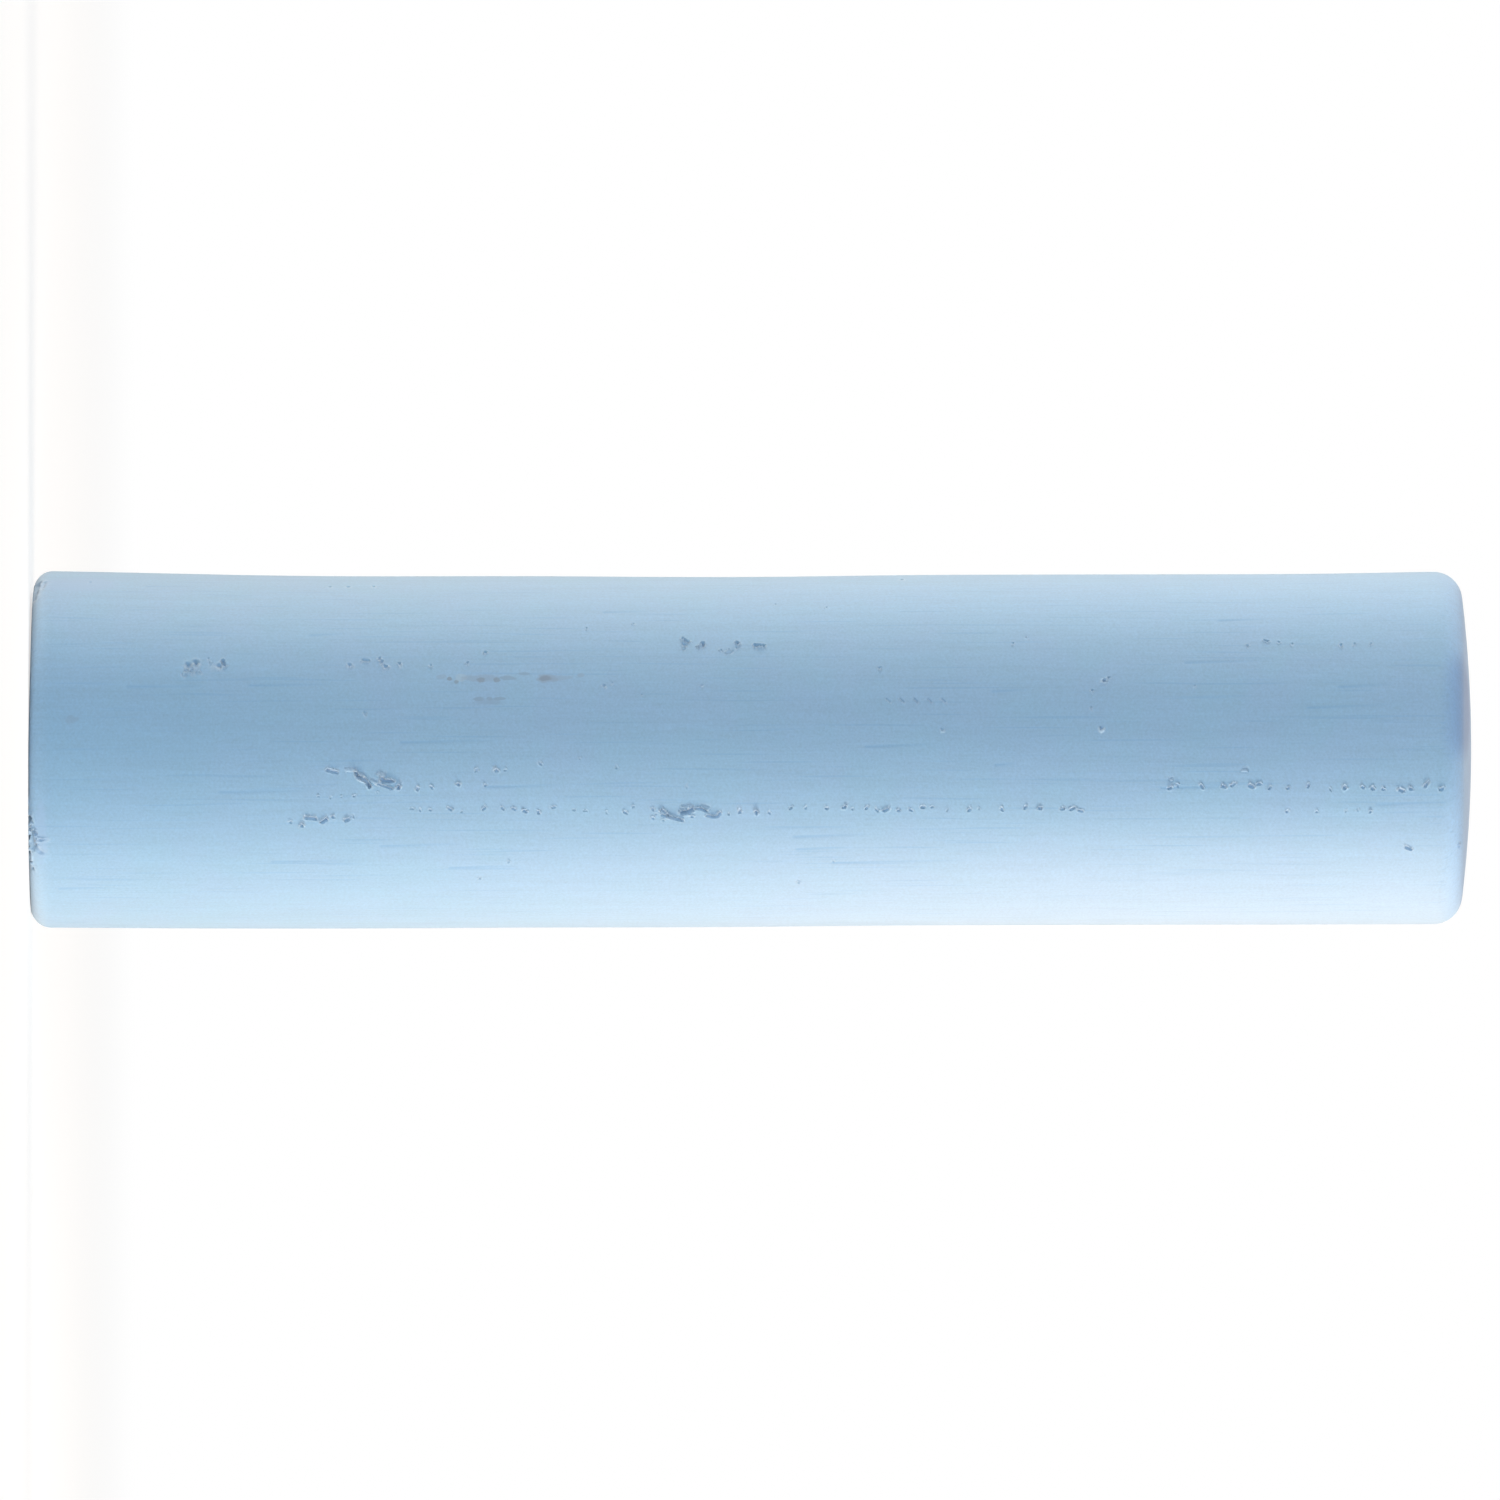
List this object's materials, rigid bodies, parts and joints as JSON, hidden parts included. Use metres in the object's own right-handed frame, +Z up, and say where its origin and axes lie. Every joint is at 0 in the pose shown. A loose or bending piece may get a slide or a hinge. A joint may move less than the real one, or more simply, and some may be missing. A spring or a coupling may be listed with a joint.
{
  "type": "soft pastel stick",
  "caption": "Round stick of pressed pale blue chalk pastel, with a flat cut end, a slightly domed end and worn rims, for drawing and blending colour on paper.",
  "frame": {"origin": "middle of the flat cut end, which is the foot the stick stands on", "axes": "+Z up the axis of the stick from the flat cut end to the domed end; -Y out of the side that shows the large tears and the bubble rows; +X to its right seen with the domed end up"},
  "size_m": [0.016, 0.016, 0.065],
  "materials": {
    "pastel_chalk": "very matt pressed pigment and chalk, dusty, with fine drag lines along the stick"
  },
  "bodies": {
    "root": {"pastel_stick": "pastel_chalk"}
  },
  "joints": []
}
